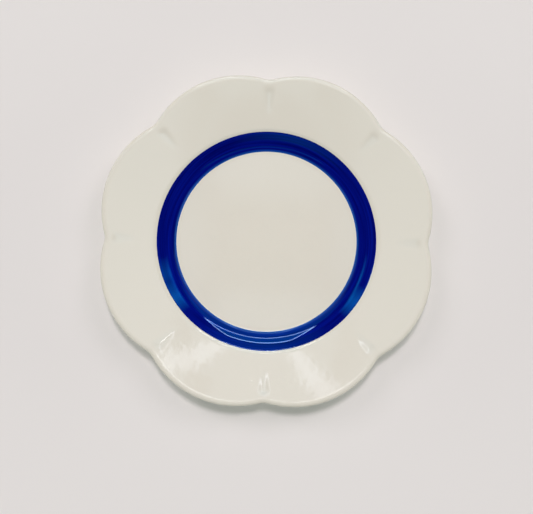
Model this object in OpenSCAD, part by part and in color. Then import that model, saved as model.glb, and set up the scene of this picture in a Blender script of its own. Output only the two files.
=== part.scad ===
// Bread and butter plate: a petal-shaped porcelain plate with a painted band round its well.
// Millimetres, +Z up. The origin is on the table, under the centre of the well.
// The biscuit body, the two coats of glaze and the band are separate solids that meet face to face.

/* [Rim] */
// Diameter over the glaze, from petal crown to petal crown
plate_d = 160; // [140:1:220]
// Petals round the rim
petal_count = 8; // [6:1:12]
// Radius of the arc that each petal's edge follows
petal_arc_r = 45; // [38:1:56]
// Radius of the hollow between two petals
notch_r = 9.5; // [3:0.5:12]
// Slope of the rim above the level
rim_angle = 12; // [6:1:20]
// Width of the rounding at the lip, seen from above
lip_w = 2.4; // [1.4:0.1:3.6]

/* [Creases] */
// Length of the pressed crease that runs in from the lip at each notch
crease_l = 13.5; // [8:0.5:17]
// Width of a crease at its outer end
crease_w = 8; // [5:0.5:12]
// Width of a crease at its inner tip
crease_tip_w = 4.4; // [2:0.1:6]
// Length over which a crease closes again towards the lip
crease_close_l = 3.5; // [2:0.5:5]
// Depth of a crease where it is deepest
crease_depth = 0.2; // [0.1:0.05:0.8]

/* [Well] */
// Diameter of the flat well
well_d = 82; // [64:1:90]
// Radius of the hollow curve at the foot of the well's wall
cavetto_r = 12.5; // [9:0.5:15]
// Steepest slope of the well's wall
cavetto_angle = 38; // [32:1:44]
// Straight run of the wall between the hollow and the shoulder, measured out from the axis
wall_run = 3; // [1:0.1:4]
// Radius of the shoulder where the wall turns out into the rim
shoulder_r = 5; // [4.5:0.5:8]

/* [Thickness] */
// Thickness of the floor
floor_t = 3.6; // [3:0.1:5]
// Thickness of the well's wall and the rim
wall_t = 3.2; // [2.6:0.1:3.8]

/* [Foot ring] */
// Depth of the recess inside the foot ring
foot_h = 2.6; // [1.8:0.1:4]
// Distance that the foot ring's middle stands out past the edge of the flat well
foot_reach = 2.6; // [1.5:0.1:5]
// Width of the flat face that stands on the table
foot_w = 2; // [1.2:0.1:3]
// Rounding of the foot ring's two lower edges
foot_round = 0.7; // [0.3:0.1:0.9]
// Radius of the fillets where the foot ring meets the plate
foot_fillet = 1.5; // [0.8:0.1:1.8]
// Slope of the foot ring's sides away from upright
foot_draft = 14; // [4:1:25]

/* [Glaze and band] */
// Thickness of the glaze
glaze_t = 0.25; // [0.15:0.05:0.5]
// Height above the table up to which the foot ring is wiped bare
bare_h = 0.8; // [0.7:0.1:1.1]
// Distance from the edge of the flat well out to the band
band_inset = 1.7; // [0:0.1:3]
// Width of the band, seen from above
band_w = 9; // [4:0.1:9.5]
// Thickness of the band's enamel
band_t = 0.12; // [0.08:0.02:0.3]

/* [Hidden] */

// Fineness of round shapes, of each profile arc, and of the petals' rings and angles
$fn = 180;
cavetto_steps = 8;
shoulder_steps = 5;
foot_steps = 4;
rim_steps = 7;
under_steps = 3;
lip_steps = 6;
crease_steps = 4;
flank_steps = 5;

// Room by which a cutting shape stands clear of what it cuts, and its run past the rim's surface
cut_room = 5;
past_rim = 6;

// Heights and radii that follow from the sizes above, on the biscuit
pitch = 360 / petal_count;
crown_r = plate_d / 2 - glaze_t;
petal_centre_r = crown_r - petal_arc_r;
well_r = well_d / 2;
floor_z = foot_h + floor_t;
wall_foot_z = floor_z + cavetto_r;
arc_end_r = well_r + cavetto_r * sin(cavetto_angle);
run_end_r = arc_end_r + wall_run;
shoulder_x = run_end_r + shoulder_r * sin(cavetto_angle);
shoulder_z = wall_foot_z + wall_run * tan(cavetto_angle) - (cavetto_r + shoulder_r) * cos(cavetto_angle);
rim_start_r = shoulder_x - shoulder_r * sin(rim_angle);
rim_start_z = shoulder_z + shoulder_r * cos(rim_angle);
shoulder_step = (cavetto_angle - rim_angle) / shoulder_steps;
join_r = (run_end_r + rim_start_r) / 2;
lip_top_z = rim_start_z + (crown_r - rim_start_r) * tan(rim_angle) + glaze_t;
foot_mid_r = well_r + foot_reach;
foot_top_z = foot_h + floor_t / 2;
foot_line = foot_w / 2 + foot_round * (1 - sin(foot_draft)) / cos(foot_draft);
band_in_r = well_r + band_inset;
band_out_r = band_in_r + band_w;

function blend(a, b, t) = a + (b - a) * t;
function limit(x) = max(0, min(1, x));
function ease(t) = t * t * (3 - 2 * t);

// Angle from the nearest notch
function from_notch(a) = abs(a - pitch * round(a / pitch));

// Distance from the axis to the edge of the lip: petal arcs, with an arc of notch_r between two petals
function lip_r(a, skin) =
    let (petal_r = petal_arc_r + skin,
         hollow_r = notch_r - skin,
         near = petal_centre_r * cos(pitch / 2),
         aside = petal_centre_r * sin(pitch / 2),
         hollow_x = near + sqrt(pow(petal_r + hollow_r, 2) - aside * aside),
         share = petal_r / (petal_r + hollow_r),
         touch = atan2(aside * (1 - share), blend(near, hollow_x, share)),
         off_notch = from_notch(a),
         off_crown = pitch / 2 - off_notch)
    off_notch < touch
        ? hollow_x * cos(off_notch) - sqrt(pow(hollow_r, 2) - pow(hollow_x * sin(off_notch), 2))
        : petal_centre_r * cos(off_crown) + sqrt(pow(petal_r, 2) - pow(petal_centre_r * sin(off_crown), 2));

crease_end_r = lip_r(0, 0) - lip_w;
crease_deep_r = crease_end_r - crease_close_l;
crease_start_r = crease_end_r - crease_l;

// Depth of a crease at a radius and an angle: a soft valley that widens outwards and closes before the lip
function crease_at(r, a) =
    let (half_w = blend(crease_tip_w, crease_w, limit((r - crease_start_r) / crease_l)) / 2,
         rise = limit((r - crease_start_r) / (crease_deep_r - crease_start_r)),
         open = ease(limit((crease_end_r - r) / crease_close_l)),
         aside = r * sin(from_notch(a)))
    crease_depth * rise * open * (1 + cos(180 * limit(aside / half_w))) / 2;

// Height of the plain rim at a radius, raised square to its slope
function rim_z(r, raise) = rim_start_z + (r - rim_start_r) * tan(rim_angle) + raise / cos(rim_angle);

// Section of the rim at one angle: along the face, round the lip and back underneath
function rim_section(a, skin) =
    let (inner_r = arc_end_r,
         round_r = lip_r(a, skin) - lip_w,
         top_z = rim_z(round_r, skin),
         under_z = rim_z(round_r, -wall_t - skin))
    concat(
        [for (i = [0 : rim_steps - 1])
            let (r = blend(inner_r, round_r, i / rim_steps))
            [r, rim_z(r, skin) - crease_at(r, a)]],
        [for (i = [0 : lip_steps])
            let (turn = 90 - 180 * i / lip_steps, out = lip_w * cos(turn))
            [round_r + out, blend(under_z, top_z, (1 + sin(turn)) / 2) + out * tan(rim_angle)]],
        [for (i = [under_steps - 1 : -1 : 0])
            let (r = blend(inner_r, round_r, i / under_steps))
            [r, rim_z(r, -wall_t - skin)]]);

// Angles of the rim's sections: close together across a crease, wider along a petal
crease_half = asin(crease_w / 2 / crease_end_r);
half_petal = concat(
    [for (i = [0 : crease_steps - 1]) crease_half * i / crease_steps],
    [for (i = [0 : flank_steps]) blend(crease_half, pitch / 2, i / flank_steps)]);
one_petal = concat(half_petal, [for (i = [len(half_petal) - 2 : -1 : 1]) pitch - half_petal[i]]);
rim_angles = [for (p = [0 : petal_count - 1], a = one_petal) p * pitch + a];

// Profile of the well's wall from the flat, up its straight run, to the shoulder, offset square to itself
function wall_profile(raise) = concat(
    [for (i = [0 : cavetto_steps])
        let (slope = cavetto_angle * i / cavetto_steps)
        [well_r + (cavetto_r - raise) * sin(slope), wall_foot_z - (cavetto_r - raise) * cos(slope)]],
    [for (i = [0 : shoulder_steps - 1])
        let (slope = cavetto_angle - shoulder_step * i)
        [shoulder_x - (shoulder_r + raise) * sin(slope), shoulder_z + (shoulder_r + raise) * cos(slope)]]);

// The same profile run straight on from its last slope, by a length measured out from the axis
function wall_run_on(raise, run) =
    let (wall = wall_profile(raise))
    concat(wall, [wall[len(wall) - 1] + run * [1, tan(rim_angle + shoulder_step)]]);

// Profile of the whole face: the wall, the tangent that meets the rim, and the rim out to the lip
function face_profile(raise) =
    let (tangent = (shoulder_r + raise) * tan(shoulder_step / 2))
    concat(wall_run_on(raise, tangent * cos(rim_angle + shoulder_step)), [[crown_r, rim_z(crown_r, raise)]]);

// Ring of sections, closed round the axis
module ring(sections) {
    turns = len(sections);
    count = len(sections[0]);
    polyhedron(
        points = [for (s = sections, p = s) p],
        faces = [for (i = [0 : turns - 1], j = [0 : count - 1])
            let (n = (i + 1) % turns, m = (j + 1) % count,
                 here = i * count + j, next = n * count + j,
                 here_on = i * count + m, next_on = n * count + m)
            each [[here, next, next_on], [here, next_on, here_on]]]);
}

// Petal rim, from inside the well's wall out to the lip
module petal_rim(skin) {
    ring([for (a = rim_angles)
        [for (p = rim_section(a, skin)) [p[0] * cos(a), p[0] * sin(a), p[1]]]]);
}

// Floor and well wall, with the underside shaped and the face still to be hollowed
module centre(skin) {
    under = [for (p = wall_run_on(-wall_t - skin, past_rim)) if (p[0] > foot_mid_r) p];
    tip = under[len(under) - 1];
    inner_z = wall_foot_z - (cavetto_r + wall_t + skin) * cos(asin(foot_reach / (cavetto_r + wall_t + skin)));
    rotate_extrude()
        polygon(concat(
            [[0, foot_h - skin], [foot_mid_r, foot_h - skin], [foot_mid_r, inner_z]],
            under,
            [[join_r, tip[1]], [join_r, lip_top_z], [0, lip_top_z]]));
}

// Points of an arc about a centre, from one direction to another
function arc(centre, r, from, to) =
    [for (i = [0 : foot_steps]) let (a = blend(from, to, i / foot_steps)) centre + r * [cos(a), sin(a)]];

// Inner side of the foot ring and the recess, from the ceiling down to the bearing face
function foot_inside(skin) =
    let (centre_z = foot_h - foot_fillet,
         centre_x = foot_mid_r - foot_line - centre_z * tan(foot_draft) - foot_fillet / cos(foot_draft))
    concat(
        arc([centre_x, centre_z], foot_fillet - skin, 90, foot_draft),
        arc([foot_mid_r - foot_w / 2, foot_round], foot_round + skin, 180 + foot_draft, 270));

// Outer side of the foot ring, from the bearing face up to the underside of the wall
function foot_outside(skin) =
    let (reach = cavetto_r + wall_t + foot_fillet,
         rise = foot_fillet + (foot_reach + foot_line) * cos(foot_draft) + wall_foot_z * sin(foot_draft),
         slope = asin(rise / reach) - foot_draft,
         centre = [well_r + reach * sin(slope), wall_foot_z - reach * cos(slope)])
    concat(
        arc([foot_mid_r + foot_w / 2, foot_round], foot_round + skin, 270, 360 - foot_draft),
        arc(centre, foot_fillet - skin, 180 - foot_draft, 90 + slope));

// Foot ring, with sloping sides, rounded edges and fillets
module foot_ring(skin) {
    rotate_extrude()
        polygon(concat(foot_inside(skin), foot_outside(skin), [[foot_mid_r, foot_top_z]]));
}

// Space that the well and its wall leave open
module well_space(skin) {
    face = wall_run_on(skin, past_rim);
    rotate_extrude()
        polygon(concat([[0, floor_z + skin]], face,
            [[face[len(face) - 1][0], lip_top_z + cut_room], [0, lip_top_z + cut_room]]));
}

// Whole plate, thickened by a skin of glaze
module plate_form(skin) {
    difference() {
        union() {
            petal_rim(skin);
            centre(skin);
            foot_ring(skin);
        }
        well_space(skin);
    }
}

// Fired clay body, bare only on the foot
module porcelain_body() {
    color([0.90, 0.88, 0.83])
        plate_form(0);
}

// Glaze over the face, round the lip and down the back to the foot ring
module face_glaze() {
    color([0.94, 0.93, 0.88])
        difference() {
            plate_form(glaze_t);
            plate_form(0);
            translate([0, 0, -cut_room])
                cylinder(r = foot_mid_r, h = cut_room + foot_top_z);
            translate([0, 0, -cut_room])
                cylinder(r = crown_r, h = cut_room + bare_h);
        }
}

// Glaze inside the foot ring, down its inner side to the bare foot
module base_glaze() {
    function coat(skin) =
        let (side = foot_inside(skin))
        concat(
            [[0, foot_h - skin]],
            [for (p = side) if (p[1] > bare_h) p],
            [[lookup(bare_h, [for (p = side) [p[1], p[0]]]), bare_h]]);
    inner = coat(glaze_t);
    color([0.94, 0.93, 0.88])
        rotate_extrude()
            polygon(concat(coat(0), [for (i = [len(inner) - 1 : -1 : 0]) inner[i]]));
}

// Painted band on the well's wall
module blue_band() {
    under = face_profile(glaze_t);
    over = face_profile(glaze_t + band_t);
    function between(line) = concat(
        [[band_in_r, lookup(band_in_r, line)]],
        [for (p = line) if (p[0] > band_in_r && p[0] < band_out_r) p],
        [[band_out_r, lookup(band_out_r, line)]]);
    low = between(under);
    high = between(over);
    color([0.02, 0.07, 0.42])
        rotate_extrude()
            polygon(concat(low, [for (i = [len(high) - 1 : -1 : 0]) high[i]]));
}

porcelain_body();
face_glaze();
base_glaze();
blue_band();
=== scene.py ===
# Bread and butter plate: a petal-shaped porcelain plate with a cobalt band painted round its well.
# Metres, +Z up, the origin on the table under the centre of the well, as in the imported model.
import math

import bmesh
import bpy
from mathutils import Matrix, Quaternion, Vector


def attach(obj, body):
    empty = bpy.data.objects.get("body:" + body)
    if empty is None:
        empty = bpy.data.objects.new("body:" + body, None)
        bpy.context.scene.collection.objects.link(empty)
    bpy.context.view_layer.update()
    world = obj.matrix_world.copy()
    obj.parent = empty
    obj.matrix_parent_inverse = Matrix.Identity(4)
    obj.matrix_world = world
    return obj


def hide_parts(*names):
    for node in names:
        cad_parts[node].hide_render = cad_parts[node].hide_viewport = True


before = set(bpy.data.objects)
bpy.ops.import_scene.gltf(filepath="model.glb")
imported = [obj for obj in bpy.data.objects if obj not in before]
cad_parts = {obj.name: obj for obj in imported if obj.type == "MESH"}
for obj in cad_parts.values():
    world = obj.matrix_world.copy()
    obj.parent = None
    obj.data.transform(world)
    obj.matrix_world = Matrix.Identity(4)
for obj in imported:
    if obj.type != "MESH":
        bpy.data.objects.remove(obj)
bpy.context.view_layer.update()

# Rim, creases, well, foot ring, glaze and band of the plate
PETALS = 8
CROWN_R = 0.07975
PETAL_ARC_R = 0.045
NOTCH_R = 0.0095
RIM_SLOPE = math.radians(12)
LIP_W = 0.0024
CREASE_L = 0.0135
CREASE_W = 0.008
CREASE_TIP_W = 0.0044
CREASE_CLOSE_L = 0.0035
CREASE_DEPTH = 0.0002
WELL_R = 0.041
HOLLOW_R = 0.0125
WALL_SLOPE = math.radians(38)
WALL_RUN = 0.003
SHOULDER_R = 0.005
FLOOR_T = 0.0036
WALL_T = 0.0032
FOOT_H = 0.0026
FOOT_MID_R = 0.0436
FOOT_W = 0.002
FOOT_ROUND = 0.0007
FOOT_FILLET = 0.0015
FOOT_DRAFT = math.radians(14)
GLAZE_T = 0.00025
BARE_H = 0.0008
BAND_IN_R = 0.0427
BAND_OUT_R = 0.0517
BAND_T = 0.00012

# Heights and radii that follow from them, on the biscuit
FLOOR_Z = FOOT_H + FLOOR_T
HOLLOW_Z = FLOOR_Z + HOLLOW_R
SHOULDER_X = WELL_R + HOLLOW_R * math.sin(WALL_SLOPE) + WALL_RUN + SHOULDER_R * math.sin(WALL_SLOPE)
SHOULDER_Z = (HOLLOW_Z - HOLLOW_R * math.cos(WALL_SLOPE) + WALL_RUN * math.tan(WALL_SLOPE)
              - SHOULDER_R * math.cos(WALL_SLOPE))
RIM_START_R = SHOULDER_X - SHOULDER_R * math.sin(RIM_SLOPE)
RIM_START_Z = SHOULDER_Z + SHOULDER_R * math.cos(RIM_SLOPE)

# Fineness: stations round the plate, their crowding at the notches, rows along a stretch, merging
STATIONS = 504
CROWDING = 0.75
FACE = {"flat": 6, "hollow": 18, "wall": 3, "shoulder": 12, "rim": 40, "lip": 20}
BACK = {"flat": 6, "hollow": 10, "wall": 1, "shoulder": 6, "rim": 12, "foot": 7}
UNSEEN = {"flat": 2, "hollow": 5, "wall": 1, "shoulder": 4, "rim": 7, "lip": 5, "foot": 4}
BAND_ROWS = 60
MERGE_DISTANCE = 1e-6


def steps(start, end, count):
    """Evenly spaced values from start up to, but not with, end"""
    return [start + (end - start) * i / count for i in range(count)]


def plate_z(r, rise):
    """Height at a radius of the surface that lies a distance above the biscuit's face, square to it"""
    hollow, shoulder = HOLLOW_R - rise, SHOULDER_R + rise
    if r < WELL_R:
        return FLOOR_Z + rise
    if r < WELL_R + hollow * math.sin(WALL_SLOPE):
        return HOLLOW_Z - math.sqrt(hollow ** 2 - (r - WELL_R) ** 2)
    shoulder_start = SHOULDER_X - shoulder * math.sin(WALL_SLOPE)
    if r < shoulder_start:
        return SHOULDER_Z + shoulder * math.cos(WALL_SLOPE) + (r - shoulder_start) * math.tan(WALL_SLOPE)
    if r < SHOULDER_X - shoulder * math.sin(RIM_SLOPE):
        return SHOULDER_Z + math.sqrt(shoulder ** 2 - (SHOULDER_X - r) ** 2)
    return RIM_START_Z + (r - RIM_START_R) * math.tan(RIM_SLOPE) + rise / math.cos(RIM_SLOPE)


def plate_radii(rise, inner, fine):
    """Radii of the rows along a surface a distance above the face, from a radius out to the lip"""
    bends = [
        (WELL_R, "flat"),
        (WELL_R + (HOLLOW_R - rise) * math.sin(WALL_SLOPE), "hollow"),
        (SHOULDER_X - (SHOULDER_R + rise) * math.sin(WALL_SLOPE), "wall"),
        (SHOULDER_X - (SHOULDER_R + rise) * math.sin(RIM_SLOPE), "shoulder"),
    ]
    radii = []
    for end, stretch in bends:
        if end > inner:
            radii += steps(inner, end, fine[stretch])
            inner = end
    return radii + steps(inner, round_start(max(rise, -rise - WALL_T)), fine["rim"])


def round_start(skin):
    """Radius at a crown where the rounding of the lip starts, on the biscuit or on its skin of glaze"""
    return CROWN_R + skin - LIP_W


def arc(centre, radius, start, end, count):
    """Points of an arc about a centre, from one direction to another"""
    turns = [start + (end - start) * i / count for i in range(count + 1)]
    return [(centre[0] + radius * math.cos(t), centre[1] + radius * math.sin(t)) for t in turns]


# A profile is a list of rows (radius, height, skin, share of the crease) through a petal's crown


def face_rows(skin, fine):
    """Rows from the axis along the face to the start of the lip"""
    return [(r, plate_z(r, skin), skin, 1) for r in plate_radii(skin, 0, fine)]


def lip_rows(skin, fine):
    """Rows round the lip, from the face to the back"""
    start = round_start(skin)
    top, under = plate_z(start, skin), plate_z(start, -WALL_T - skin)
    rows = []
    for i in range(fine["lip"] + 1):
        turn = math.pi / 2 - math.pi * i / fine["lip"]
        out, share = LIP_W * math.cos(turn), (1 + math.sin(turn)) / 2
        z = under + (top - under) * share + out * math.tan(RIM_SLOPE)
        rows.append((start + out, z, skin, share))
    return rows


# Where the fillet outside the foot ring touches the underside of the hollow
FOOT_LINE = FOOT_W / 2 + FOOT_ROUND * (1 - math.sin(FOOT_DRAFT)) / math.cos(FOOT_DRAFT)
FILLET_REACH = HOLLOW_R + WALL_T + FOOT_FILLET
FILLET_SLOPE = math.asin((FOOT_FILLET + (FOOT_MID_R - WELL_R + FOOT_LINE) * math.cos(FOOT_DRAFT)
                          + HOLLOW_Z * math.sin(FOOT_DRAFT)) / FILLET_REACH) - FOOT_DRAFT


def back_rows(skin, fine):
    """Rows along the back, from the lip in to the fillet outside the foot ring"""
    rise = -WALL_T - skin
    touch_r = WELL_R + (HOLLOW_R - rise) * math.sin(FILLET_SLOPE)
    radii = plate_radii(rise, touch_r, fine)
    return [(r, plate_z(r, rise), skin, 0) for r in reversed(radii)]


def foot_outside(skin, fine):
    """Rows down the outside of the foot ring: its fillet, then its rounded edge"""
    fillet = (WELL_R + FILLET_REACH * math.sin(FILLET_SLOPE),
              HOLLOW_Z - FILLET_REACH * math.cos(FILLET_SLOPE))
    edge = (FOOT_MID_R + FOOT_W / 2, FOOT_ROUND)
    points = arc(fillet, FOOT_FILLET - skin,
                 math.pi / 2 + FILLET_SLOPE, math.pi - FOOT_DRAFT, fine["foot"])
    points += arc(edge, FOOT_ROUND + skin, 2 * math.pi - FOOT_DRAFT, 1.5 * math.pi, fine["foot"])
    return [(r, z, skin, 0) for r, z in points]


def foot_inside(skin, fine):
    """Rows up the inside of the foot ring: its rounded edge, then its fillet, then in to the axis"""
    fillet_z = FOOT_H - FOOT_FILLET
    fillet_r = (FOOT_MID_R - FOOT_LINE - fillet_z * math.tan(FOOT_DRAFT)
                - FOOT_FILLET / math.cos(FOOT_DRAFT))
    edge = (FOOT_MID_R - FOOT_W / 2, FOOT_ROUND)
    points = arc(edge, FOOT_ROUND + skin, 1.5 * math.pi, math.pi + FOOT_DRAFT, fine["foot"])
    points += arc((fillet_r, fillet_z), FOOT_FILLET - skin, FOOT_DRAFT, math.pi / 2, fine["foot"])
    points += [(r, FOOT_H - skin) for r in steps(fillet_r, 0, fine["flat"])[1:]] + [(0, FOOT_H - skin)]
    return [(r, z, skin, 0) for r, z in points]


def above_bare(rows):
    """The rows above the bare foot, ended where their line crosses the edge of the glaze"""
    kept = []
    for row, following in zip(rows, rows[1:] + rows[-1:]):
        if row[1] > BARE_H:
            kept.append(row)
        if (row[1] > BARE_H) != (following[1] > BARE_H):
            share = (BARE_H - row[1]) / (following[1] - row[1])
            kept.append((row[0] + (following[0] - row[0]) * share, BARE_H, row[2], 0))
    return kept


def rounded_edge(outer, inner):
    """Rows that round the glaze over from its outer surface to the biscuit at the bare foot"""
    bead, turns = [], 5
    for i in range(1, turns):
        turn = math.pi / 2 * i / turns
        bead.append((outer[0] + (inner[0] - outer[0]) * (1 - math.cos(turn)),
                     BARE_H - GLAZE_T * math.sin(turn) * math.cos(turn) / 2, outer[2], 0))
    return bead


def body_profile():
    """The biscuit: face, lip, back and foot ring, from the axis round to the axis"""
    outside = face_rows(0, UNSEEN) + lip_rows(0, UNSEEN) + back_rows(0, UNSEEN)
    return outside + foot_outside(0, BACK) + foot_inside(0, BACK)


def face_glaze_profile():
    """The face's coat: from the axis over its surface to the bare foot, and back along the biscuit"""
    outer = face_rows(GLAZE_T, FACE) + lip_rows(GLAZE_T, FACE) + back_rows(GLAZE_T, BACK)
    outer += above_bare(foot_outside(GLAZE_T, BACK))
    inner = face_rows(0, UNSEEN) + lip_rows(0, UNSEEN) + back_rows(0, UNSEEN)
    inner += above_bare(foot_outside(0, UNSEEN))
    return outer + rounded_edge(outer[-1], inner[-1]) + inner[::-1]


def base_glaze_profile():
    """The coat inside the foot ring: from the axis out to the bare foot, and back along the biscuit"""
    outer = above_bare(foot_inside(GLAZE_T, BACK))
    inner = above_bare(foot_inside(0, UNSEEN))
    return outer[::-1] + rounded_edge(outer[0], inner[0]) + inner


def band_profile():
    """The painted band: laid on the glaze, swelling from a feather edge to its full thickness"""
    edge_power = 40
    shares = [(1 - math.cos(math.pi * i / BAND_ROWS)) / 2 for i in range(BAND_ROWS + 1)]
    over, under = [], []
    for share in shares:
        r = BAND_IN_R + (BAND_OUT_R - BAND_IN_R) * share
        swell = BAND_T * (1 - abs(2 * share - 1) ** edge_power)
        over.append((r, plate_z(r, GLAZE_T + swell), GLAZE_T, 1))
        under.append((r, plate_z(r, GLAZE_T), GLAZE_T, 1))
    return over + under[-2:0:-1] + over[:1]


class Wire:
    """Output of a node. Arithmetic on it adds Math nodes to the same tree."""

    def __init__(self, tree, socket):
        self.tree = tree
        self.socket = socket

    def math(self, operation, *others):
        return add(self.tree, "ShaderNodeMath", (self, *others), operation=operation)

    def __add__(self, other):
        return self.math("ADD", other)

    def __sub__(self, other):
        return self.math("SUBTRACT", other)

    def __rsub__(self, other):
        return (self * -1) + other

    def __mul__(self, other):
        return self.math("MULTIPLY", other)

    def __truediv__(self, other):
        return self.math("DIVIDE", other)

    def limited(self):
        return add(self.tree, "ShaderNodeClamp", (self, 0, 1))


def add(tree, kind, inputs=(), output=0, **settings):
    """Adds a node, sets it up, feeds its inputs by place or by name, and gives one of its outputs"""
    node = tree.nodes.new(kind)
    for name, value in settings.items():
        setattr(node, name, value)
    pairs = inputs.items() if isinstance(inputs, dict) else enumerate(inputs)
    for key, value in pairs:
        if isinstance(value, Wire):
            tree.links.new(value.socket, node.inputs[key])
        else:
            node.inputs[key].default_value = value
    return Wire(tree, node.outputs[output])


# Geometry Nodes tree that turns a profile round the axis and draws its rim in to petals with creases
TURNING_SIZES = {
    "Stations": STATIONS,
    "Petals": PETALS,
    "Crowding": CROWDING,
    "Crown radius": CROWN_R,
    "Petal arc radius": PETAL_ARC_R,
    "Notch radius": NOTCH_R,
    "Rim start radius": RIM_START_R,
    "Rim slope": RIM_SLOPE,
    "Lip width": LIP_W,
    "Crease length": CREASE_L,
    "Crease width": CREASE_W,
    "Crease tip width": CREASE_TIP_W,
    "Crease closing length": CREASE_CLOSE_L,
    "Crease depth": CREASE_DEPTH,
}


def petal_turning():
    """The tree that turns a profile into a layer of the plate, with the plate's sizes as its inputs"""
    tree = bpy.data.node_groups.new("petal_turning", "GeometryNodeTree")
    new_socket = tree.interface.new_socket
    new_socket("Profile", in_out="INPUT", socket_type="NodeSocketGeometry")
    for name, size in TURNING_SIZES.items():
        socket_type = "NodeSocketInt" if isinstance(size, int) else "NodeSocketFloat"
        new_socket(name, in_out="INPUT", socket_type=socket_type)
    new_socket("Material", in_out="INPUT", socket_type="NodeSocketMaterial")
    new_socket("Layer", in_out="OUTPUT", socket_type="NodeSocketGeometry")
    group = tree.nodes.new("NodeGroupInput")
    given = {socket.name: Wire(tree, socket) for socket in group.outputs if socket.name}

    # A grid with a column for each station and a row for each point of the profile
    rows = add(tree, "GeometryNodeAttributeDomainSize", {"Geometry": given["Profile"]}, "Point Count")
    grid = add(tree, "GeometryNodeMeshGrid", {"Vertices X": given["Stations"] + 1, "Vertices Y": rows})
    index = add(tree, "GeometryNodeInputIndex")
    rounding_guard = 1e-4
    station = (index / rows + rounding_guard).math("FLOOR")
    row = index - station * rows

    def of_profile(data_type, value):
        sampled = {"Geometry": given["Profile"], "Value": value, "Index": row}
        return add(tree, "GeometryNodeSampleIndex", sampled, data_type=data_type)

    def marked(name):
        mark = add(tree, "GeometryNodeInputNamedAttribute", {"Name": name}, data_type="FLOAT")
        return of_profile("FLOAT", mark)

    place = of_profile("FLOAT_VECTOR", add(tree, "GeometryNodeInputPosition"))
    drawn_r = add(tree, "ShaderNodeSeparateXYZ", (place,), "X")
    drawn_z = add(tree, "ShaderNodeSeparateXYZ", (place,), "Z")
    skin, crease_share = marked("skin"), marked("crease_share")

    # Angles: of the station, from the nearest notch and from the nearest crown
    petals = given["Petals"]
    pitch = petals.math("POWER", -1) * (2 * math.pi)
    half_pitch = pitch * 0.5
    even = station / given["Stations"] * (2 * math.pi)
    angle = even - (even * petals).math("SINE") * given["Crowding"] / petals
    off_notch = (angle - (angle / pitch).math("ROUND") * pitch).math("ABSOLUTE")
    off_crown = half_pitch - off_notch

    # Radius of the lip: petal arcs, with a small arc in the hollow between two petals
    centre_r = given["Crown radius"] - given["Petal arc radius"]
    petal_r = given["Petal arc radius"] + skin
    notch_r = given["Notch radius"] - skin
    near = centre_r * half_pitch.math("COSINE")
    aside = centre_r * half_pitch.math("SINE")
    notch_x = near + ((petal_r + notch_r).math("POWER", 2) - aside * aside).math("SQRT")
    share = petal_r / (petal_r + notch_r)
    touch = (aside - aside * share).math("ARCTAN2", near + (notch_x - near) * share)
    along_notch = notch_x * off_notch.math("COSINE") - (
        notch_r * notch_r - (notch_x * off_notch.math("SINE")).math("POWER", 2)).math("SQRT")
    along_petal = centre_r * off_crown.math("COSINE") + (
        petal_r * petal_r - (centre_r * off_crown.math("SINE")).math("POWER", 2)).math("SQRT")
    lip_r = along_petal + (along_notch - along_petal) * off_notch.math("LESS_THAN", touch)

    # Draw the rim in to the petals' outline, down its own slope
    crown_r = given["Crown radius"] + skin
    rim_w = crown_r - given["Lip width"] - given["Rim start radius"]
    drawn_in = (crown_r - lip_r) * ((drawn_r - given["Rim start radius"]) / rim_w).limited()
    r = drawn_r - drawn_in
    sloped_z = drawn_z - drawn_in * given["Rim slope"].math("TANGENT")

    # Press creases into the face: soft valleys that widen and deepen outwards and close before the lip
    crease_end = notch_x - given["Notch radius"] - given["Lip width"]
    crease_start = crease_end - given["Crease length"]
    deepest = crease_end - given["Crease closing length"]
    rise = ((r - crease_start) / (deepest - crease_start)).limited()
    shut = ((crease_end - r) / given["Crease closing length"]).limited()
    run = ((r - crease_start) / given["Crease length"]).limited()
    widening = given["Crease width"] - given["Crease tip width"]
    half_w = (given["Crease tip width"] + widening * run) * 0.5
    valley = ((r * off_notch.math("SINE") / half_w).limited() * math.pi).math("COSINE") * 0.5 + 0.5
    pressed = rise * shut * shut * (3 - shut * 2) * valley * crease_share
    z = sloped_z - pressed * given["Crease depth"]

    spot = add(tree, "ShaderNodeCombineXYZ", (r * angle.math("COSINE"), r * angle.math("SINE"), z))
    turned = add(tree, "GeometryNodeSetPosition", {"Geometry": grid, "Position": spot})
    # How deep each point is pressed: drives a glossier coat and a darker crease tint, partly pooled glaze
    # and partly painted shade
    noted = add(tree, "GeometryNodeStoreNamedAttribute",
                {"Geometry": turned, "Name": "pooling_and_shade", "Value": pressed},
                data_type="FLOAT", domain="POINT")
    closed = add(tree, "GeometryNodeMergeByDistance", {"Geometry": noted, "Distance": MERGE_DISTANCE})
    smooth = add(tree, "GeometryNodeSetShadeSmooth", {0: closed})
    whole = add(tree, "GeometryNodeRealizeInstances", {"Geometry": smooth})
    coated = add(tree, "GeometryNodeSetMaterial", {"Geometry": whole, "Material": given["Material"]})
    result = tree.nodes.new("NodeGroupOutput")
    tree.links.new(coated.socket, result.inputs["Layer"])
    return tree


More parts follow.
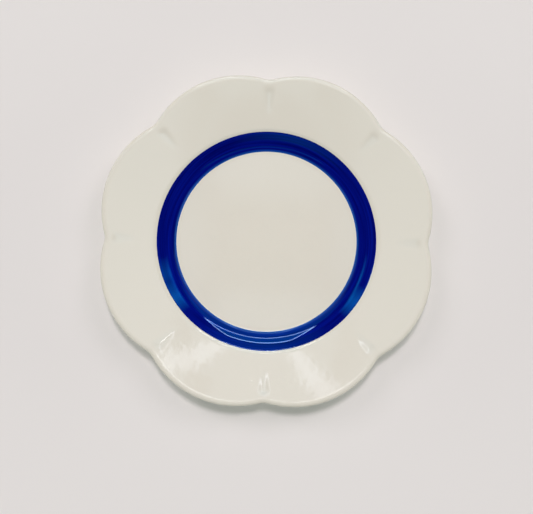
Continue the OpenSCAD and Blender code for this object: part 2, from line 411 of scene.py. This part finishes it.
def turned_layer(name, profile, tree, material):
    """A layer of the plate as a plain closed mesh, turned from its profile"""
    mesh = bpy.data.meshes.new(name)
    points = [(r, 0, z) for r, z, _, _ in profile]
    mesh.from_pydata(points, [(i, i + 1) for i in range(len(points) - 1)], [])
    for mark, column in (("skin", 2), ("crease_share", 3)):
        values = mesh.attributes.new(mark, "FLOAT", "POINT").data
        values.foreach_set("value", [row[column] for row in profile])
    layer = bpy.data.objects.new(name, mesh)
    bpy.context.scene.collection.objects.link(layer)
    turning = layer.modifiers.new("petal_turning", "NODES")
    turning.node_group = tree
    identifiers = {item.name: item.identifier for item in tree.interface.items_tree}
    for size_name, size in TURNING_SIZES.items():
        turning[identifiers[size_name]] = size
    turning[identifiers["Material"]] = material
    depsgraph = bpy.context.evaluated_depsgraph_get()
    turned = bpy.data.meshes.new_from_object(layer.evaluated_get(depsgraph), depsgraph=depsgraph)
    layer.modifiers.remove(turning)
    layer.data = turned
    shell = bmesh.new()
    shell.from_mesh(turned)
    bmesh.ops.recalc_face_normals(shell, faces=shell.faces)
    shell.to_mesh(turned)
    shell.free()
    return layer


# Glaze: its colours, the scales of its clouds, ripples and peel, and what pooling in a crease does to it;
# the darker, greener crease colour is partly pooled glaze and partly painted shade
GLAZE_WHITE = (0.722, 0.692, 0.602, 1)
GLAZE_CLOUD = (0.702, 0.674, 0.584, 1)
# Darker, greener glaze colour for the creases: partly pooled glaze, partly painted shade
GLAZE_POOLED_SHADE = (0.66, 0.645, 0.55, 1)
CLOUD_SCALE = 22
RIPPLE_SCALE = 320
PEEL_SCALE = 900
PEEL_SHARE = 0.1
RIPPLE_H = 0.00002
POOLED_SHADE_TINT = 0.3
POOLED_COAT = 2
GLOSSY = 0.03
GLASS_IOR = 1.5

# Cobalt: its colours, the scales and height of its brush streaks, and the width of its thin inner edge
COBALT_DEEP = (0.0003, 0.0015, 0.115, 1)
COBALT_STREAK = (0.0009, 0.0065, 0.235, 1)
COBALT_THIN = (0.012, 0.11, 0.42, 1)
COBALT_GLINT = (0, 0.3, 0.95, 1)
COBALT_COAT = 0.4
STREAK_ROUND_SCALE = 1.6
STREAK_ACROSS_SCALE = 1500
STREAK_FLOOR = 0.3
STREAK_CONTRAST = 2.5
STREAK_H = 0.000002
THIN_EDGE_W = 0.0016

# Bare porcelain: its colours, the scales of its grain and blotches, and how far up the foot is rubbed
CLAY = (0.70, 0.655, 0.56, 1)
CLAY_GRAIN = (0.63, 0.585, 0.49, 1)
CLAY_RUBBED = (0.50, 0.48, 0.44, 1)
GRAIN_SCALE = 2600
BLOTCH_SCALE = 160
GRAIN_H = 0.00003
RUBBED_H = 0.0004
RUBBED_SHARE = 0.7
MATT = 0.65


def new_material(name):
    """A material with its tree and its shader's node"""
    material = bpy.data.materials.new(name)
    material.use_nodes = True
    return material, material.node_tree, material.node_tree.nodes["Principled BSDF"]


def feed(shader, **inputs):
    """Sets or links inputs of a shader, named with _ for a space"""
    for name, value in inputs.items():
        socket = shader.inputs[name.replace("_", " ")]
        if isinstance(value, Wire):
            shader.id_data.links.new(value.socket, socket)
        else:
            socket.default_value = value


def noise(tree, place, scale, detail=2):
    """Smooth noise, 0 to 1, with this many waves to a unit of place"""
    return add(tree, "ShaderNodeTexNoise", {"Vector": place, "Scale": scale, "Detail": detail})


def mixed(tree, share, first, second):
    """A colour between two, by a share"""
    return add(tree, "ShaderNodeMix", {0: share, 6: first, 7: second}, 2, data_type="RGBA")


def bumped(tree, height, distance):
    """A normal that follows a height of 0 to 1, up to a distance"""
    return add(tree, "ShaderNodeBump", {"Height": height, "Distance": distance, "Strength": 1})


def object_place(tree):
    """Places on the piece, in metres from the origin"""
    return add(tree, "ShaderNodeTexCoord", output="Object")


def glaze():
    """Glossy warm white glaze: a little uneven, thicker and glossier in the creases and darker and
    greener there, partly from pooled glaze and partly painted shade, faintly rippled
    """
    material, tree, shader = new_material("white_glaze")
    place = object_place(tree)
    pooling_and_shade = add(tree, "ShaderNodeAttribute", output="Fac", attribute_name="pooling_and_shade")
    white = mixed(tree, noise(tree, place, CLOUD_SCALE), GLAZE_WHITE, GLAZE_CLOUD)
    # Painted shade in the creases, together with pooled glaze: the colour darkens and greens with the
    # crease's depth
    pooled_and_shaded = mixed(tree, pooling_and_shade * POOLED_SHADE_TINT, white, GLAZE_POOLED_SHADE)
    ripple = noise(tree, place, RIPPLE_SCALE, detail=1)
    peel = noise(tree, place, PEEL_SCALE, detail=1)
    feed(shader, Base_Color=pooled_and_shaded, Roughness=peel * GLOSSY + GLOSSY, IOR=GLASS_IOR,
         Coat_Weight=(pooling_and_shade * POOLED_COAT).limited(), Coat_Roughness=GLOSSY,
         Normal=bumped(tree, ripple + peel * PEEL_SHARE, RIPPLE_H))
    return material


def cobalt():
    """Glossy cobalt enamel: brushed round the plate in fine streaks, thin and light at its inner edge"""
    material, tree, shader = new_material("cobalt_band")
    place = object_place(tree)
    x = add(tree, "ShaderNodeSeparateXYZ", (place,), "X")
    y = add(tree, "ShaderNodeSeparateXYZ", (place,), "Y")
    r = (x * x + y * y).math("SQRT")
    around = add(tree, "ShaderNodeCombineXYZ",
                 (x / r * STREAK_ROUND_SCALE, y / r * STREAK_ROUND_SCALE, r * STREAK_ACROSS_SCALE))
    streaks = noise(tree, around, scale=1, detail=3)
    brushed = ((streaks - STREAK_FLOOR) * STREAK_CONTRAST).limited()
    deep = mixed(tree, brushed, COBALT_DEEP, COBALT_STREAK)
    inner = (1 - (r - BAND_IN_R) / THIN_EDGE_W).limited()
    thin = mixed(tree, inner * inner, deep, COBALT_THIN)
    feed(shader, Base_Color=thin, Roughness=streaks * GLOSSY + GLOSSY, IOR=GLASS_IOR,
         Specular_Tint=COBALT_GLINT, Coat_Weight=COBALT_COAT, Coat_Roughness=GLOSSY,
         Normal=bumped(tree, streaks, STREAK_H))
    return material


def biscuit():
    """Bare fired porcelain: matt and fine-grained, a little greyer where the foot rubs on tables"""
    material, tree, shader = new_material("bare_porcelain")
    place = object_place(tree)
    grain = noise(tree, place, GRAIN_SCALE, detail=3)
    height = add(tree, "ShaderNodeSeparateXYZ", (place,), "Z")
    rubbed = (1 - height / RUBBED_H).limited() * noise(tree, place, BLOTCH_SCALE)
    clay = mixed(tree, grain, CLAY, CLAY_GRAIN)
    worn = mixed(tree, rubbed * RUBBED_SHARE, clay, CLAY_RUBBED)
    feed(shader, Base_Color=worn, Roughness=grain * 0.2 + MATT, Normal=bumped(tree, grain, GRAIN_H))
    return material


TURNING = petal_turning()
GLAZE, COBALT, BISCUIT = glaze(), cobalt(), biscuit()
LAYERS = [
    ("plate_body", body_profile(), BISCUIT, "porcelain_body", "biscuit"),
    ("plate_face_glaze", face_glaze_profile(), GLAZE, "face_glaze", "glaze"),
    ("plate_base_glaze", base_glaze_profile(), GLAZE, "base_glaze", "glaze"),
    ("plate_blue_band", band_profile(), COBALT, "blue_band", "cobalt"),
]
for name, profile, material, node, slot in LAYERS:
    layer = turned_layer(name, profile, TURNING, material)
    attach(layer, "root")
    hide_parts(node)

# Pale floor, seen from above only, so that the plate's back can be looked at from below
FLOOR_HALF = 3
FLOOR_DROP = 0.00005
FLOOR_GREY = (0.735, 0.713, 0.691, 1)


def pale_floor():
    material, tree, shader = new_material("pale_floor")
    feed(shader, Base_Color=FLOOR_GREY, Roughness=0.9, Specular_IOR_Level=0)
    below = add(tree, "ShaderNodeNewGeometry", output="Backfacing")
    clear = add(tree, "ShaderNodeBsdfTransparent")
    seen = add(tree, "ShaderNodeMixShader", (below, Wire(tree, shader.outputs[0]), clear))
    tree.links.new(seen.socket, tree.nodes["Material Output"].inputs["Surface"])
    return material


floor_mesh = bpy.data.meshes.new("floor")
floor_corners = [(x * FLOOR_HALF, y * FLOOR_HALF, -FLOOR_DROP)
                 for x, y in ((-1, -1), (1, -1), (1, 1), (-1, 1))]
floor_mesh.from_pydata(floor_corners, [], [(0, 1, 2, 3)])
floor_mesh.materials.append(pale_floor())
floor = bpy.data.objects.new("floor", floor_mesh)
bpy.context.scene.collection.objects.link(floor)

# Where the lamps aim, how high or far they hang, how they fade towards their edges, and their tints
PLATE = (0, 0, 0.01)
TUBES_H = 0.9
CEILING_H = 0.95
WINDOW_REACH = 2.5
TUBE_FADE = (0.05, 0.6)
PANE_FADE = (0.9, 0.9)
CEILING_FADE = (0.25, 0.25)
WHITE = (1, 1, 1)
COOL_WHITE = (0.95, 1, 1.15)
KEY_TINT = (1.04, 0.96, 1.01)
FILL_TINT = (0.96, 1.04, 0.985)
CEILING_TINT = (0.75, 1, 1.12)
DAYLIGHT = (0.02, 0.66, 1)


def sky_place(azimuth, zenith, reach):
    """A point at a distance from the plate, by its direction in degrees round from +X and down from +Z"""
    a, z = math.radians(azimuth), math.radians(zenith)
    return (reach * math.sin(z) * math.cos(a), reach * math.sin(z) * math.sin(a), reach * math.cos(z))


def fade_out(lamp, shares):
    """Lets a lamp fade towards its edges, over these shares of its half width and half height"""
    lamp.use_nodes = True
    tree = lamp.node_tree
    across = add(tree, "ShaderNodeNewGeometry", output="Parametric")
    strength = 1
    for axis, share in zip("XY", shares):
        off_middle = (add(tree, "ShaderNodeSeparateXYZ", (across,), axis) * 2 - 1).math("ABSOLUTE")
        strength = ((1 - off_middle) / share).limited() * strength
    feed(tree.nodes["Emission"], Strength=strength)


def hang_light(name, place, size, radiance, aim=None, turn=0, fade=None,
               colour=WHITE, glossy=True, diffuse=True):
    """A rectangular lamp of a given radiance: aimed at a point, or facing down and turned"""
    lamp = bpy.data.lights.new(name, "AREA")
    lamp.shape = "RECTANGLE"
    lamp.size, lamp.size_y = size
    lamp.energy = radiance * math.pi * size[0] * size[1]
    lamp.color = colour
    if fade:
        fade_out(lamp, fade)
    light = bpy.data.objects.new(name, lamp)
    light.location = place
    light.rotation_mode = "QUATERNION"
    if aim:
        light.rotation_quaternion = (Vector(aim) - Vector(place)).to_track_quat("-Z", "Y")
    else:
        light.rotation_quaternion = Quaternion((0, 0, 1), turn)
    light.visible_camera = False
    light.visible_glossy = glossy
    light.visible_diffuse = diffuse
    bpy.context.scene.collection.objects.link(light)


def hang_tubes(name, points, width, radiance, colour):
    """Level tube lights from point to point, seen only in reflections"""
    for i, (start, end) in enumerate(zip(points, points[1:])):
        run = Vector(end) - Vector(start)
        middle = Vector(start) + run / 2
        hang_light(f"{name}_{i}", (*middle, TUBES_H), (run.length, width), radiance,
                   turn=math.atan2(run.y, run.x), fade=TUBE_FADE, colour=colour, diffuse=False)


def hang_pane(name, azimuth, zenith, size, radiance):
    """A pane of a window in cool daylight, brightest in its middle, seen only in reflections"""
    hang_light(name, sky_place(azimuth, zenith, WINDOW_REACH), size, radiance,
               aim=PLATE, fade=PANE_FADE, colour=DAYLIGHT, diffuse=False)


def hang_ceiling(name, place, size, radiance):
    """A stretch of pale ceiling that fades at its edges, seen only in reflections"""
    hang_light(name, (*place, CEILING_H), size, radiance,
               fade=CEILING_FADE, colour=CEILING_TINT, diffuse=False)


# A key and two wings behind the plate, a top light beside the camera, low lights on the other sides
hang_light("key", sky_place(90, 17, 6), size=(0.7, 0.9), radiance=72,
           aim=PLATE, colour=KEY_TINT, glossy=False)
for name, azimuth in (("right_wing", 45), ("left_wing", 135)):
    hang_light(name, sky_place(azimuth, 42, 5), size=(1.6, 2.2), radiance=3.5,
               aim=PLATE, colour=KEY_TINT, glossy=False)
hang_light("top", sky_place(90, 1, 6), size=(0.6, 0.6), radiance=92,
           aim=PLATE, colour=FILL_TINT, glossy=False)
for name, azimuth, radiance in (("right_low", 0, 4), ("left_low", 180, 4), ("front_low", 270, 2)):
    hang_light(name, sky_place(azimuth, 80, 5), size=(3, 1), radiance=radiance,
               aim=PLATE, colour=FILL_TINT, glossy=False)

# What the glaze mirrors: pale ceiling, panes of low windows, tubes overhead and a large lit frame behind
hang_ceiling("right_ceiling", (0.20, 0.04), (0.26, 0.42), 0.9)
hang_ceiling("left_ceiling", (-0.18, 0.04), (0.24, 0.42), 0.7)
hang_ceiling("far_ceiling", (0.02, 0.235), (0.9, 0.32), 0.8)
hang_ceiling("near_ceiling", (0, -0.10), (0.5, 0.18), 0.8)
hang_pane("right_near_pane", 35, 69, (0.75, 0.95), 3.8)
hang_pane("right_far_pane", 22, 66, (0.80, 1.0), 2.6)
hang_pane("left_near_pane", 144, 69, (0.80, 0.90), 3.6)
hang_pane("left_far_pane", 156, 62, (1.2, 0.75), 2.8)
hang_pane("front_pane", 256, 68, (3.2, 0.7), 0.6)
hang_pane("back_pane", 90, 70, (3.2, 1.0), 0.9)
hang_tubes("front", [(-0.40, -0.52), (0.54, -0.52)], 0.14, 0.9, DAYLIGHT)
hang_light("bar", (0.02, 0.17, TUBES_H), (0.21, 0.045), 5, diffuse=False)
hang_tubes("over", [(-0.076, 0.19), (-0.065, 0.34), (0.088, 0.34), (0.125, 0.19)], 0.04, 2.7, COOL_WHITE)
hang_tubes("back_left", [(-0.46, 0.83), (-0.55, 2.15)], 0.06, 20, WHITE)
hang_tubes("back_right", [(0.59, 0.83), (0.80, 2.15)], 0.06, 20, WHITE)
hang_tubes("back_near", [(-0.46, 0.83), (0.59, 0.83)], 0.12, 14, WHITE)
hang_light("back_far", (0.125, 2.15, TUBES_H), (1.35, 0.15), 13, aim=PLATE, diffuse=False)
hang_light("back_panel", (0.10, 1.49, TUBES_H), (1.15, 1.28), 1.5, colour=DAYLIGHT, diffuse=False)
hang_light("near_panel", (0.06, 0.54, TUBES_H), (1.3, 0.44), 1.0,
           fade=(0.4, 0.3), colour=DAYLIGHT, diffuse=False)

# A faint even light from all round
EVEN_LIGHT = 0.05
world = bpy.data.worlds.new("studio")
bpy.context.scene.world = world
world.use_nodes = True
feed(world.node_tree.nodes["Background"], Color=(*FILL_TINT, 1), Strength=EVEN_LIGHT)
world.cycles_visibility.glossy = False

# Camera almost straight above, a little to the near side, with the plate just above the middle
CAMERA_AIM = Vector((0.00016, -0.0075, 0.012))
CAMERA_ELEVATION = math.radians(88.2)
CAMERA_ROLL = math.radians(1.1)
CAMERA_REACH = 0.6
PICTURE_W = 0.2505
lens = bpy.data.cameras.new("camera")
lens.sensor_width = 36
lens.lens = lens.sensor_width * CAMERA_REACH / PICTURE_W
camera = bpy.data.objects.new("camera", lens)
back = Vector((0, -math.cos(CAMERA_ELEVATION), math.sin(CAMERA_ELEVATION)))
camera.location = CAMERA_AIM + back * CAMERA_REACH
camera.rotation_mode = "QUATERNION"
camera.rotation_quaternion = (-back).to_track_quat("-Z", "Y") @ Quaternion((0, 0, 1), CAMERA_ROLL)
bpy.context.scene.collection.objects.link(camera)
bpy.context.scene.camera = camera
bpy.context.scene.view_settings.view_transform = "Standard"
